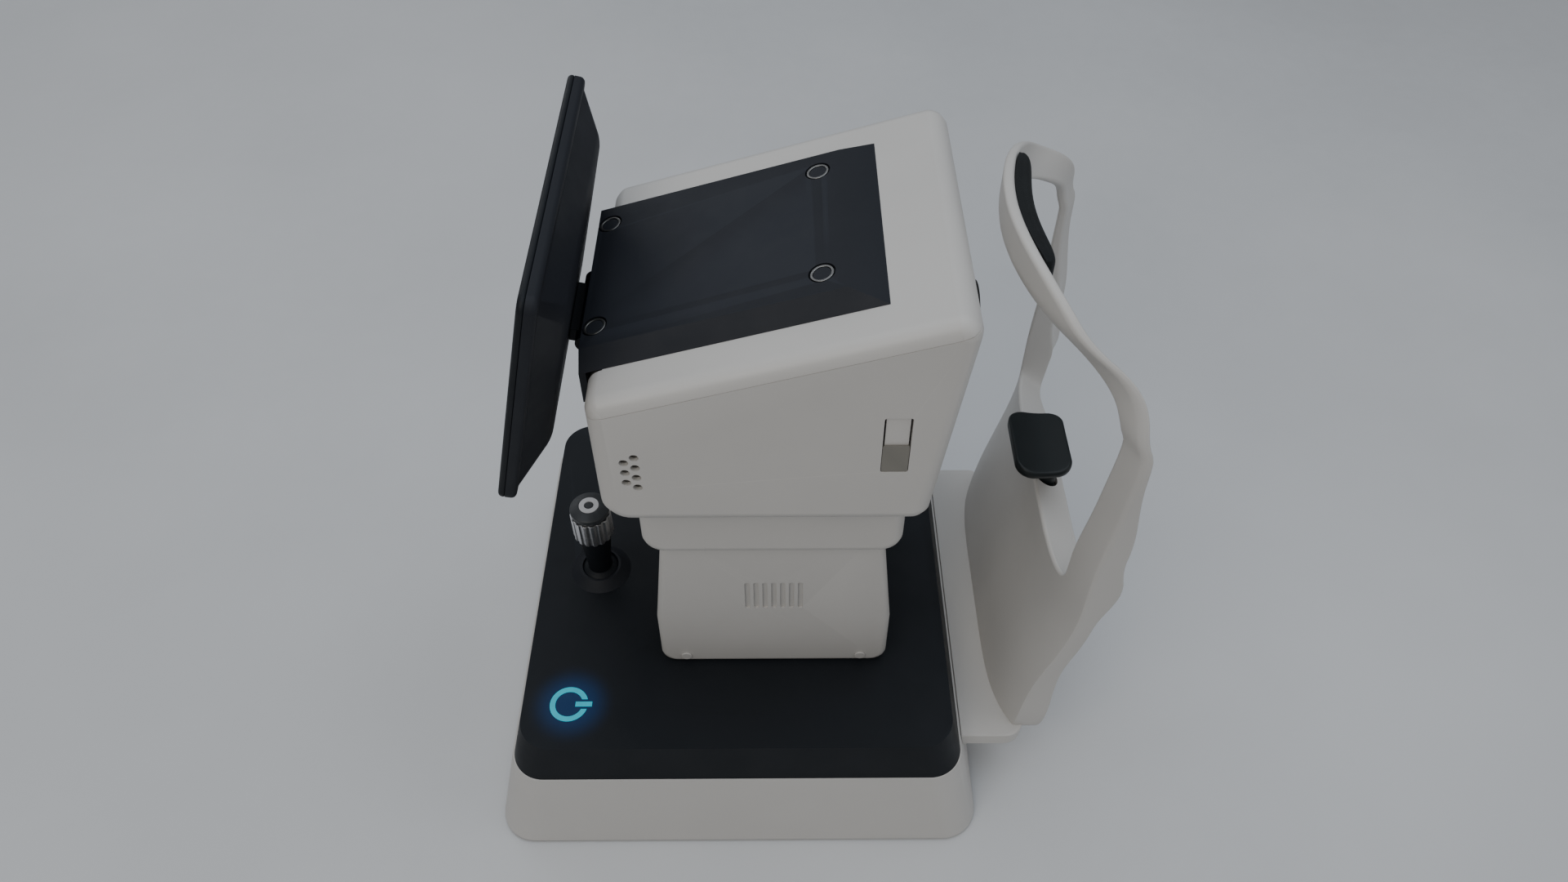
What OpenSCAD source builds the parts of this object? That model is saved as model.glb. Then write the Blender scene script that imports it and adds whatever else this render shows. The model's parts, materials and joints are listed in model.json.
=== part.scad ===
// Tabletop autorefractor: tapered base with joystick and touch key, pedestal and lifting neck,
// sliding measuring head with tilting screen, and a chin and forehead rest on the patient side.
// +X points to the patient, +Z up; the origin is on the table under the middle of the outline.

/* [Base] */
// Side of the square base at the table
base_side = 350; // [330:1:370]
// Height of the top edge of the white base
base_h = 67.4; // [66:0.1:69]
// Inward slope of the base's walls, mm per mm of height
base_slope = 0.23; // [0.2:0.01:0.26]
// Plan corner radius of the base
base_r = 26; // [18:1:34]
// Height of the dark deck's top face
deck_top = 97; // [95:0.1:99]
// Half width of the deck's top face
deck_half = 150.5; // [146:0.5:152]
// Wall thickness of the mouldings
wall = 3; // [2.5:0.1:3.5]

/* [Joystick] */
// Distance of the joystick from the base's middle, towards the operator
joy_back = 106.75; // [100:0.25:112]
// Height of the joystick's pivot
joy_pivot = 83; // [82:0.5:84]
// Radius of the joystick's ball
ball_r = 16; // [15:0.1:16.2]
// Radius of the joystick's knob
knob_r = 14.7; // [14.3:0.1:15.2]
// Number of flutes round the grip ring
flutes = 16; // [12:1:20]

/* [Pedestal and neck] */
// Half depth of the pedestal
ped_half = 82.3; // [80:0.1:82.5]
// Height of the pedestal's top edge, inside the neck
ped_top = 247; // [246:0.5:248]
// Half depth of the neck
neck_half = 87.5; // [87.5:0.1:89]
// Height of the neck's lower edge
neck_low = 232.75; // [231:0.25:234]
// Number of grooves on each side
vents = 7; // [5:1:8]

/* [Head] */
// Half depth of the head
head_half = 100.6; // [99:0.1:102]
// Height of the head's underside
head_low = 281.75; // [281.75:0.05:282.5]
// X of the head's operator wall, from the base's middle
head_back = -74.4; // [-75:0.1:-74]
// Slope of the head's top, in degrees
head_slope = 16.62; // [16:0.01:17]
// Height of the seam at the operator wall
seam_back = 369.25; // [368:0.25:370]
// Thickness of the top cover, measured upright
cover_rise = 10.5; // [10:0.1:11]
// Radius of the head's rounded edges
head_r = 9.6; // [9.6:0.1:9.7]
// Radius of the measuring barrel
barrel_r = 20; // [19.5:0.5:22]
// Height of the measuring axis
lens_z = 359; // [356:1:361]

/* [Screen] */
// Width of the screen
screen_w = 211.8; // [205:0.1:215]
// Height of the screen along its face
screen_h = 153; // [150:0.5:156]
// Lean of the screen from upright, in degrees
screen_lean = 13.85; // [13:0.05:14.5]
// Thickness of the screen's rim
screen_rim = 10.5; // [10:0.1:12]
// Thickness of the screen at its bulged back
screen_deep = 25; // [24:0.1:25]

/* [Chin rest] */
// Height of the underside of the chin rest's foot
foot_low = 54; // [53:0.5:55]
// Height of the top of the chin rest's foot
foot_top = 66; // [65:0.5:67]
// Height of the chin cup's upper edge
cup_top = 247; // [245:0.5:250]
// Radius of the chin cup's post
post_r = 6; // [5.5:0.1:6.5]

/* [Hidden] */
$fn = 64;
eps = 0.01;
thin = 0.02;
disc = 0.4;
fit = 0.05;
gap = 0.3;
base_x = -35.18;
white = "#e9e8e4";
black = "#24272b";
charcoal = "#3b3f45";
steel = "#b9bcc0";
half = base_side / 2;
function base_at(z) = half - base_slope * z;
column = [26, 0];
rod_gap = 30;
rod_r = 8;
screw_r = 6;
seam_tan = tan(head_slope);
function seam(x) = seam_back + seam_tan * (x - head_back);
function head_front(z) = 118.7 + 0.0876 * (z - head_low);

// Moves a part drawn from the base's middle into the object's frame
module at_base() translate([base_x, 0, 0]) children();
// Copies a shape to both sides of the middle plane
module both_sides() { children(); mirror([0, 1, 0]) children(); }
// A square box with rounded corners whose walls lean in
module taper_box(low, high, r, z0, z1)
    hull() for (sx = [-1, 1], sy = [-1, 1]) {
        translate([sx * (low - r), sy * (low - r), z0]) cylinder(r = r, h = thin);
        translate([sx * (high - r), sy * (high - r), z1 - thin]) cylinder(r = r, h = thin);
    }
// A flat box given by its corners
module box(p, q) translate(p) cube(q - p);
// A box along Z with rounded upright edges
module round_box(p, q, r) {
    box([p.x + r, p.y, p.z], [q.x - r, q.y, q.z]);
    box([p.x, p.y + r, p.z], [q.x, q.y - r, q.z]);
    for (x = [p.x + r, q.x - r], y = [p.y + r, q.y - r])
        translate([x, y, p.z]) cylinder(r = r, h = q.z - p.z);
}
// A panel across Y with rounded corners, between two corners
module y_panel(p, q, r) rotate([90, 0, 0]) round_box([p.x, p.z, -q.y], [q.x, q.z, -p.y], r);
// A body with side outline pts ([x, z, radius] circles), half depth y and edge radius r
module pillow(pts, y, r, steps = 4)
    hull() for (p = pts, k = [0:steps], s = [-1, 1]) let (a = 90 * k / steps)
        translate([p.x, s * (y - disc / 2 - r + r * sin(a)), p.y])
            rotate([90, 0, 0]) cylinder(r = p.z - r * (1 - cos(a)), h = disc, center = true, $fn = 32);
module along_x(x0, x1, r) translate([x0, 0, 0]) rotate([0, 90, 0]) cylinder(r = r, h = x1 - x0);
module along_y(y0, y1, r) translate([0, y1, 0]) rotate([90, 0, 0]) cylinder(r = r, h = y1 - y0);
module tube(r, bore, h) difference() {
    cylinder(r = r, h = h);
    translate([0, 0, -1]) cylinder(r = bore, h = h + 2);
}

// ---- Base ----
foot_h = 3;
plate_h = 3;
inlet_x = -60;
inlet_z = 30;
module base_shell() color(white) at_base() difference() {
    taper_box(base_at(foot_h), base_at(base_h), base_r, foot_h, base_h);
    taper_box(base_at(foot_h) - wall, base_at(base_h) - wall, base_r - wall, foot_h - eps, base_h - wall);
    // column and cable opening, then the joystick's well
    box([-20, -34, base_h - wall - 1], [72, 34, base_h + 1]);
    translate([-joy_back, 0, base_h - wall - 1]) cylinder(r = 34, h = wall + 2);
    // inlet opening on the far side
    box([inlet_x - 15, half - 25, inlet_z - 12.5], [inlet_x + 15, half + 5, inlet_z + 12.5]);
    // slot for the chin rest's bracket
    box([half - 25, -41, 49.6], [half + 5, 41, 54.2]);
}
module base_plate() color(steel) at_base() difference() {
    inset = base_at(foot_h + plate_h) - wall - gap;
    round_box([-inset, -inset, foot_h], [inset, inset, foot_h + plate_h], base_r - wall);
    for (x = [-90:20:90], y = [-110, 110]) round_box([x - 3, y - 18, 0], [x + 3, y + 18, 9], 2.9);
}
foot_at = 140;
module rubber_feet() color("#1b1c1e") at_base()
    for (x = [-foot_at, foot_at], y = [-foot_at, foot_at]) translate([x, y, 0]) cylinder(r = 13, h = foot_h);
deck_slope = 0.26;
deck_low = base_h;
deck_wide = deck_half + deck_slope * (deck_top - deck_low);
key = [-118, -116];
module key_outline(grow) {
    difference() {
        circle(r = 13.4 + grow);
        circle(r = 9.6 - grow);
        translate([4, -3.8 + grow]) square([14, 7.6 - 2 * grow]);
    }
    translate([4.6 - grow, -1.9 - grow]) square([11.6 + 2 * grow, 3.8 + 2 * grow]);
}
module deck() color(black) at_base() difference() {
    taper_box(deck_wide, deck_half, base_r - 3, deck_low, deck_top);
    taper_box(deck_wide - wall, deck_half - wall, base_r - 6, deck_low - eps, deck_top - 4);
    translate([-joy_back, 0, deck_low]) cylinder(r = 21.2, h = 40);
    box([-20, -34, deck_low], [72, 34, deck_top + 1]);
    translate([key.x, key.y, deck_top - 5]) linear_extrude(6) key_outline(gap / 3);
}
module power_ring() color("#3fd6e0") at_base()
    translate([key.x, key.y, deck_top - 3]) linear_extrude(3.2) key_outline(0);
module main_board() color("#1f6b3f") at_base() {
    box([-95, -120, 14], [-10, -50, 15.6]);
    for (p = [[-85, -110], [-60, -85], [-32, -105]]) box([p.x, p.y, 15.6], [p.x + 16, p.y + 16, 18.6]);
    for (x = [-92, -13], y = [-117, -53]) translate([x, y, foot_h + plate_h])
        cylinder(r = 2.5, h = 8, $fn = 24);
}
module power_supply() color("#9a9da2") at_base() {
    box([-100, 60, foot_h + plate_h], [20, 120, 44]);
    for (x = [-92:8:12]) box([x, 64, 44], [x + 3, 116, 45.2]);
}
inlet_face = base_at(inlet_z) + 1.2;
module inlet_socket() color("#17181a") at_base() translate([inlet_x, inlet_face, inlet_z]) difference() {
    union() {
        box([-14.6, -24, -12.1], [14.6, 3, 12.1]);
        box([-20, 2.4, -15], [20, 4.6, 15]);
    }
    box([-11, -14, -8], [11, 6, 8]);
}
module inlet_pins() color(steel) at_base() translate([inlet_x, inlet_face, inlet_z])
    for (p = [[-6, -2], [0, 3], [6, -2]]) box([p.x - 1, -14, p.y - 2.4], [p.x + 1, -2, p.y + 2.4]);

// ---- Pedestal and lifting column ----
ped_r = 5;
ped_pts = [[-42.6, deck_top + 11.7, 11.7], [94.6, deck_top + 11.7, 11.7],
    [-43.8, 150, 10.5], [95.8, 150, 10.5],
    [-33.5, ped_top + 3.3, 10.5], [85.5, ped_top + 3.3, 10.5]];
vent_pitch = 5.9;
vent_mid = 26.5;
vent_w = 3.4;
vent_low = 165.6;
vent_high = 195.2;
vent_deep = 1.4;
module pedestal_cover() color(white) at_base() difference() {
    pillow(ped_pts, ped_half, ped_r);
    // hollow with an open top, and an opening in the floor for the column
    round_box([-37, -ped_half + wall, deck_top + wall], [89, ped_half - wall, ped_top + 20], 5);
    box([-70, -90, ped_top], [130, 90, ped_top + 20]);
    box([-20, -34, deck_top - 1], [72, 34, deck_top + 5]);
    // grooves on both sides
    both_sides() for (k = [0:vents - 1])
        translate([vent_mid + vent_pitch * (k - (vents - 1) / 2), -ped_half, 0])
            y_panel([-vent_w / 2, -2, vent_low], [vent_w / 2, vent_deep, vent_high], vent_w / 2 - eps);
}
cap_z = deck_top + 9;
module pedestal_caps() color("#d9d8d4") at_base() both_sides() for (x = [-36.4, 87.6])
    translate([x, -ped_half, cap_z]) along_y(-1.2, 0, 3.8);
module guide_rods() color(steel) at_base() for (s = [-1, 1])
    translate([column.x + s * rod_gap, 0, foot_h + plate_h]) cylinder(r = rod_r, h = 251);
module column_brace() color("#8d9096") at_base() difference() {
    union() {
        round_box([-22, -30, 196], [74, 30, 202], 6);
        for (x = [-16, 68]) box([x - 4, -60, deck_top + wall], [x + 4, -30, 202]);
        for (x = [-16, 68]) box([x - 4, 30, deck_top + wall], [x + 4, 60, 202]);
    }
    for (s = [-1, 1]) translate([column.x + s * rod_gap, 0, 190]) cylinder(r = rod_r + fit, h = 20);
    translate([column.x, 0, 190]) cylinder(r = screw_r + fit, h = 20);
}
module lift_motor() color("#2a2d31") at_base() translate([column.x, 0, foot_h + plate_h]) difference() {
    union() {
        cylinder(r = 18, h = 48);
        translate([0, 0, 48]) cylinder(r = 10, h = 6);
    }
    translate([0, 0, 24]) cylinder(r = screw_r + fit, h = 40);
}
module lead_screw() color("#c9ccd0") at_base() translate([column.x, 0, 32]) {
    cylinder(r = screw_r, h = 216);
    for (z = [78:4:134]) translate([0, 0, z]) cylinder(r = screw_r + 0.8, h = 1.6);
}
neck_pts = [[-41, neck_low + 15, 15], [93, neck_low + 15, 15], [-42, 271, 14], [94, 271, 14]];
neck_wall = 2.6;
neck_top = head_low - 0.55;
module neck_cover() color(white) at_base() difference() {
    pillow(neck_pts, neck_half, 8);
    // open underside over the pedestal, cut top and the carriage's opening
    round_box([-56 + neck_wall, -neck_half + neck_wall, neck_low - 10],
        [108 - neck_wall, neck_half - neck_wall, neck_top - 2.5], 5);
    box([-80, -100, neck_top], [140, 100, neck_top + 20]);
    box([-42, -52, neck_top - 5], [94, 52, neck_top + 5]);
}
plate_z = 260;
module lift_plate() color("#8d9096") at_base() difference() {
    round_box([-49, -80, plate_z], [101, 80, plate_z + 4], 6);
    for (s = [-1, 1]) translate([column.x + s * rod_gap, 0, plate_z - 1]) cylinder(r = 11.1, h = 8);
    translate([column.x, 0, plate_z - 1]) cylinder(r = 9.1, h = 8);
}
module lift_bushes() color("#c2a36b") at_base() for (s = [-1, 1])
    translate([column.x + s * rod_gap, 0, 214]) tube(11, rod_r + fit, 50);
module lift_nut() color("#c2a36b") at_base() translate([column.x, 0, 230]) tube(9, screw_r + 1.2, 34);
rail_z = plate_z + 4;
module y_rails() color(steel) at_base() for (x = [-20, 72])
    box([x - 4, -62, rail_z], [x + 4, 62, rail_z + 6]);
cross_z = 273;
module cross_plate() color("#a3a6ab") at_base() {
    difference() {
        round_box([-32, -34, cross_z], [84, 34, cross_z + 4], 5);
        translate([column.x, 0, cross_z - 1]) cylinder(r = 14, h = 8);
    }
    // four blocks that straddle the rails below
    for (x = [-20, 72], y = [-22, 22]) translate([x, y, rail_z]) {
        for (s = [0, 1]) mirror([s, 0, 0]) box([4.3, -9, 1], [7.3, 9, cross_z - rail_z]);
        box([-7.3, -9, 6.3], [7.3, 9, cross_z - rail_z]);
    }
}
x_rail_y = 26;
x_rail_z = cross_z + 4;
module x_rails() color(steel) at_base() for (y = [-x_rail_y, x_rail_y])
    box([-32, y - 4, x_rail_z], [84, y + 4, x_rail_z + 6]);

// ---- Head ----
top_back = seam_back + cover_rise;
// Centre height of a circle of radius r, x from the base's middle, that touches the sloped top
function under_top(x, r) = top_back + seam_tan * (x - head_back) - r / cos(head_slope);
top_front_x = head_front(430) - head_r / cos(5);
function head_pts(inset) = [[head_back + 18.4, head_low + 18.4, 18.4 - inset],
    [head_front(head_low + 12) - 12, head_low + 12, 12 - inset],
    [head_back + 12, under_top(head_back + 12, 12), 12 - inset],
    [top_front_x, under_top(top_front_x, 12), 12 - inset]];
module head_body(inset) pillow(head_pts(inset), head_half - inset, head_r - inset, 3);
// Half space above (up = 1) or below (up = -1) the seam plane
module seam_side(up, lift = 0) translate([head_back, 0, seam_back + lift]) rotate([0, -head_slope, 0])
    translate([-60, -150, up > 0 ? 0 : -300]) cube([420, 300, 300]);
sound_r = 2.7;
slide_x = 94.9;
slide_w = 15.6;
slide_low = 328.2;
slide_high = 372.1;
slide_r = 1.5;
module head_shell() color(white) at_base() difference() {
    intersection() {
        head_body(0);
        seam_side(-1);
    }
    head_body(wall);
    // opening over the slides
    box([-42, -38, head_low - 5], [94, 38, head_low + 6]);
    // speaker holes on the near side
    for (k = [0:3]) translate([-50.1, 0, 315.7 + 8.4 * k]) along_y(-110, -90, sound_r);
    for (k = [0:2]) translate([-56.2, 0, 319.9 + 8.4 * k]) along_y(-110, -90, sound_r);
    // sliding lock's window
    y_panel([slide_x - slide_w / 2, -110, slide_low], [slide_x + slide_w / 2, -90, slide_high], slide_r);
    // measuring barrel's opening
    translate([0, 0, lens_z]) along_x(100, 150, barrel_r + 0.1);
    // hinge screws' wall
    translate([0, 0, 349]) for (y = [-24, 24]) translate([0, y, 0]) along_x(-80, -60, 2);
}
cover_left = -78.8;
cover_right = 69;
cover_high = 9;
module head_cover() color(white) at_base() difference() {
    intersection() {
        head_body(0);
        seam_side(1, 0.3);
    }
    head_body(wall);
    // notch where the dark cover wraps over the operator edge
    box([head_back - 5, -73.2, seam_back - 10], [head_back + 9, 73.2, seam_back + 60]);
}
// Sloped slab on the head's top from x0 to x1, with bevelled sides; z counts up from the top plane
module sloped(x0, x1, y0, y1, z0, z1) translate([head_back, 0, top_back]) rotate([0, -head_slope, 0])
    hull() {
        box([x0, -y0, z0], [x1 + 20, y0, z0 + thin]);
        box([x0, -y1, z1 - thin], [x1, y1, z1]);
    }
slab_end = (cover_right - head_back) / cos(head_slope);
lip_end = 0.4;
module top_cover() color(charcoal) at_base() difference() {
    union() {
        sloped(-12, slab_end, 72.6, 62, 0.1, cover_high);
        // lip down the operator wall
        hull() {
            box([cover_left - 4, -72.6, 357], [head_back - lip_end, 72.6, 357.2]);
            translate([head_back, 0, top_back]) rotate([0, -head_slope, 0])
                box([-9, -72.3, 0.3], [-lip_end, 72.3, 0.5]);
        }
    }
    box([cover_left - 30, -90, 340], [cover_left, 90, 420]);
    // hinge opening, then the wells of the four ring plugs
    box([cover_left - 5, -31, 350], [head_back, 31, 379]);
    plug_spots(0) translate([0, 0, cover_high - 2.2]) cylinder(r = 7.6, h = 8);
}
module plug_spots(z) translate([head_back, 0, top_back]) rotate([0, -head_slope, 0])
    for (x = [5.6, 136.2], y = [-46, 46]) translate([x, y, z]) children();
module cover_rings() color("#c3c5c8") at_base() plug_spots(cover_high - 2.2) tube(6.6, 5.2, 2);
module cover_plugs() color("#34373c") at_base() plug_spots(cover_high - 2.2) cylinder(r = 5.1, h = 1.6);
module speaker() color("#3a3936") at_base()
    y_panel([-62.1, -head_half + wall + gap, 310], [-44.1, -head_half + 14, 346.6], 8);
// Frame behind the lock's window, with a white island in the middle of it
module slider_track() color(white) at_base() translate([slide_x, -head_half, 0]) {
    difference() {
        box([-12, wall + 0.1, slide_low - 5], [12, 9, slide_high + 5]);
        box([-slide_w / 2, wall - 1, slide_low], [slide_w / 2, 10, slide_high]);
    }
    box([-6.6, wall + 0.1, slide_low - 5], [6.6, 3.9, slide_high + 5]);
    box([-6.6, 1.4, slide_low + 0.4], [6.6, 3.9, slide_high - 0.4]);
}
// Sleeve that slides round the island
slider_top = 349.9;
module lock_slider() color("#5f5d55") at_base() translate([slide_x, -head_half, 0]) difference() {
    y_panel([gap - slide_w / 2, gap, slide_low + gap], [slide_w / 2 - gap, 4.9, slider_top], slide_r);
    box([-6.9, 1.1, slide_low - 1], [6.9, 4.2, slider_top + 1]);
}
barrel_end = 148.6;
hood_r = 17.9;
module lens_barrel() color("#4a4d50") at_base() translate([0, 0, lens_z]) difference() {
    union() {
        along_x(112, barrel_end - 3, barrel_r);
        translate([barrel_end - 3, 0, 0]) rotate([0, 90, 0])
            cylinder(r1 = barrel_r, r2 = barrel_r - 1, h = 3);
        along_x(112, 116, barrel_r + 6);
    }
    along_x(100, barrel_end + 1, hood_r + 0.1);
}
// Funnel round the measuring window
module lens_hood() color("#1c1d20") difference() {
    at_base() translate([0, 0, lens_z]) rotate([0, 90, 0]) rotate_extrude()
        polygon([[hood_r, barrel_end - 2], [hood_r, 128], [9.5, 128], [9.5, 132], [12, 134],
            [hood_r - 1.5, barrel_end - 2]]);
    led_spots(1.3, 20);
}
module led_ring() color("#d8d2c4") led_spots(1.2, 7);
// Eight light-source studs in the funnel's wall
module led_spots(r, h) at_base() translate([0, 0, lens_z]) for (k = [0:7])
    rotate([45 * k, 0, 0]) translate([134.6, 0, 14]) rotate([0, 90, 0]) cylinder(r = r, h = h, $fn = 24);
module lens_glass() color("#6f8fb8") at_base() translate([0, 0, lens_z]) intersection() {
    along_x(129.5, 136, 9.4);
    translate([121.5, 0, 0]) sphere(r = 14, $fn = 96);
}
module head_chassis() color("#8d9096") at_base() {
    round_box([-40, -70, 288.5], [92, 70, 291.5], 6);
    // four blocks that straddle the rails below
    for (x = [-8, 60], y = [-x_rail_y, x_rail_y]) translate([x, y, x_rail_z]) {
        for (s = [0, 1]) mirror([0, s, 0]) box([-10, 4.3, 1], [10, 7.3, 288.5 - x_rail_z]);
        box([-10, -7.3, 6.3], [10, 7.3, 288.5 - x_rail_z]);
    }
}
module optics_tube() color("#2a2d31") at_base() {
    translate([0, 0, lens_z]) difference() {
        along_x(20, 127.5, 16);
        along_x(60, 129, 13);
    }
    for (x = [34, 100]) box([x - 5, -22, 291.5], [x + 5, 22, lens_z - 15.4]);
}
module camera_board() color("#1f6b3f") at_base() {
    box([17, -35, lens_z - 35], [18.8, 35, lens_z + 35]);
    box([-14, -12, lens_z - 12], [17, 12, lens_z + 12]);
}

// ---- Screen and its hinge ----
pivot = [-82.2, 361];
module hinge_bracket() color(black) at_base() difference() {
    union() {
        box([head_back - 2.4, -30, 342], [head_back - 0.4, 30, 378]);
        for (y = [-30, 22]) {
            translate([pivot.x, 0, pivot.y]) along_y(y, y + 8, 6);
            box([pivot.x, y, pivot.y - 6], [head_back - 1, y + 8, pivot.y + 6]);
        }
    }
    translate([pivot.x, 0, pivot.y]) along_y(-40, 40, 3 + fit);
}
module hinge_pin() color(steel) at_base() translate([pivot.x, 0, pivot.y]) along_y(-31, 31, 3);
// Screen frame: origin at the pivot, x out of the screen's face, y up along it
face_x = -94;
face_z = 458.8;
module on_screen() translate([face_x, 0, face_z]) rotate([0, screen_lean, 0]) children();
module screen_knuckle() color(black) at_base() difference() {
    union() {
        translate([pivot.x, 0, pivot.y]) along_y(-21.6, 21.6, 5.1);
        on_screen() box([screen_deep + 0.05, -21.2, -99], [screen_deep + 6.5, 21.2, -90]);
    }
    translate([pivot.x, 0, pivot.y]) along_y(-40, 40, 3 + fit);
}
sh = screen_w / 2;
module rounded_panel(x0, x1, y, z0, z1, r) rotate([0, 90, 0]) translate([0, 0, x0])
    round_box([-z1, -y, 0], [-z0, y, x1 - x0], r);
module screen_back() color("#2b2e33") at_base() on_screen() difference() {
    union() {
        rounded_panel(4, screen_rim, sh, -screen_h, 0, 8);
        hull() {
            rounded_panel(screen_rim - 0.5, screen_rim, sh - 5, -screen_h + 5, -5, 8);
            rounded_panel(screen_deep - 0.5, screen_deep, 80.5, -screen_h + 28, -24.5, 8);
        }
    }
    rounded_panel(3, screen_rim - 2, sh - 3, -screen_h + 3, -3, 6);
    rounded_panel(screen_rim - 3, screen_deep - 2.5, 78, -screen_h + 31, -27.5, 6);
    for (k = [0:8]) translate([0, -32 + 8 * k, 0])
        rounded_panel(screen_deep - 4, screen_deep + 1, 2, -52, -34, 1.9);
}
module screen_bezel() color("#202226") at_base() on_screen() difference() {
    rounded_panel(0, 3.95, sh, -screen_h, 0, 8);
    rounded_panel(-1, 5, sh - 11, -screen_h + 17, -11, 2);
}
module display_glass() color("#0d1116") at_base() on_screen()
    rounded_panel(0.8, 2.3, sh - 11.1, -screen_h + 17.1, -11.1, 2);
module display_panel() color("#55585c") at_base() on_screen()
    rounded_panel(2.4, 8, sh - 11.4, -screen_h + 17.4, -11.4, 2);

// ---- Joystick ----
module at_joy(z) translate([base_x - joy_back, 0, z]) children();
well_r = 23.5;
module joy_housing() color("#303338") at_joy(0) difference() {
    union() {
        translate([0, 0, 68.4]) cylinder(r = 27, h = 24.4);
        translate([0, 0, 88.8]) cylinder(r = 30, h = 4);
    }
    translate([0, 0, 71]) cylinder(r = well_r, h = 30);
    translate([0, 0, joy_pivot]) along_y(-40, 40, 2 + fit);
}
module joy_bezel() color("#1d1f22") at_joy(deck_top) rotate_extrude()
    polygon([[13.4, 5], [13.6, 6.2], [15.5, 6.2], [22.7, 0], [21, 0], [21, -2], [19.9, -2], [19.9, 0]]);
module joy_yoke() color("#8d9096") at_joy(joy_pivot) difference() {
    union() {
        translate([0, 0, -3]) tube(19, 16.5, 6);
        for (s = [-1, 1]) translate([0, s * 22.5, 0]) along_y(-4, 4, 2);
    }
    along_x(-25, 25, 1.6 + fit);
}
module joy_ball() color("#1d1f22") at_joy(joy_pivot) {
    difference() {
        sphere(r = ball_r);
        translate([0, 0, -20]) cylinder(r = 20, h = 12);
    }
    along_x(-18.8, 18.8, 1.6);
}
dome_r = 22.9;
module joy_stem() color("#202226") at_joy(joy_pivot) difference() {
    union() {
        // dust dome that turns under the ring's lip
        difference() {
            sphere(r = dome_r);
            sphere(r = dome_r - 1.1);
            translate([0, 0, -30]) cylinder(r = 30, h = 30 + 14.8);
        }
        joy_spindle();
    }
    sphere(r = ball_r + thin);
}
grip_low = 61.9;
grip_high = 84.4;
cap_low = 84.7;
cap_edge = 90.2;
cap_high = 92.3;
pin_r = 5;
module joy_spindle() rotate_extrude()
    polygon([[0, 12], [8.8, 12], [8.8, 20], [9.2, 28], [10.4, 42], [12.4, grip_low - 1],
        [12, grip_low - gap], [pin_r, grip_low - gap], [pin_r, cap_low + 2], [0, cap_low + 2]]);
module joy_grip() color("#c4c6c9") at_joy(joy_pivot) difference() {
    translate([0, 0, grip_low]) cylinder(r = knob_r, h = grip_high - grip_low);
    translate([0, 0, grip_low - 1]) cylinder(r = pin_r + fit, h = 30);
    for (k = [0:flutes - 1]) rotate(360 / flutes * k) translate([knob_r + 0.9, 0, grip_low - 1])
        cylinder(r = 1.9, h = 30, $fn = 20);
}
module joy_cap() color("#232529") at_joy(joy_pivot) difference() {
    rotate_extrude() polygon([[0, cap_low], [13.4, cap_low], [13.4, cap_low + 1.4], [14.2, cap_low + 2.2],
        [14.2, cap_edge - 0.6], [13.6, cap_edge], [7.9, cap_high], [0, cap_high]]);
    translate([0, 0, cap_low - 1]) cylinder(r = pin_r + fit, h = 3);
    translate([0, 0, cap_high - 1.5]) cylinder(r = 7.3, h = 5);
    translate([0, 0, cap_low + 3.5]) cylinder(r = 3.4, h = 8);
}
module joy_ring() color("#e3e4e6") at_joy(joy_pivot + cap_high - 1.5) tube(7.2, 3.4, 1.8);
module joy_button() color("#2a2c30") at_joy(joy_pivot) rotate_extrude()
    polygon([[0, cap_low + 5.2], [3.1, cap_low + 5.2], [3.1, 92.2], [2.7, 92.5], [0, 92.6]]);

// ---- Chin rest ----
function smooth(t) = let (u = min(1, max(0, t))) u * u * (3 - 2 * u);
// Front face of the frame's middle line at height z: a slow S that leans in at the forehead
function frame_mid(z) = 183 + 23.5 * smooth((z - 56) / 155) + 2 * smooth((z - 240) / 60)
    - 53 * smooth((z - 356) / 66);
function frame_bow(z) = 0.0032 * smooth((z - 362) / 45);
function frame_x(y, z) = frame_mid(z) + 10.5 * pow(min(abs(y), 122) / 109.4, 5) + frame_bow(z) * y * y;
function frame_thick(z) = 24 - 8 * smooth((z - 215) / 50) - 9.5 * smooth((z - 265) / 80);
// The panel thins towards its outer edges below the opening
function frame_thin(y, z) = (12 * (1 - smooth((z - 190) / 52)) - 8 * smooth((150 - z) / 70))
    * smooth((abs(y) - 50) / 50);
// Back face, with a smooth rib down its middle that houses the chin post
rib_x = 229.5;
function frame_back(y, z) =
    let (x = frame_x(y, z) + frame_thick(z) - frame_thin(y, z),
        r = rib_x - 23 * (1 - smooth((z - 54) / 36)))
    x + max(0, z < 222 ? r - x : 0) * (1 - smooth((abs(y) - 15) / 26));
// Half outlines in the front view, [y, z] from the bottom middle to the top middle
outer_pts = [[0, 54], [20, 54], [40, 54], [80, 54], [112, 54], [119, 66], [117, 92], [115, 125],
    [117, 166], [117, 210], [117, 250], [118, 290], [120, 330], [121, 362], [110, 386], [98, 408],
    [82, 425], [58, 437], [28, 441], [0, 441]];
inner_pts = [[0, 211], [17, 211], [34, 211], [64, 211], [84, 212], [93, 216], [95, 225], [95, 236],
    [95, 246], [95, 256], [96, 272], [98, 296], [101, 328], [104, 360], [98, 379], [84, 392],
    [73, 404], [54, 413], [28, 416], [0, 416]];
last = len(outer_pts) - 1;
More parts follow.
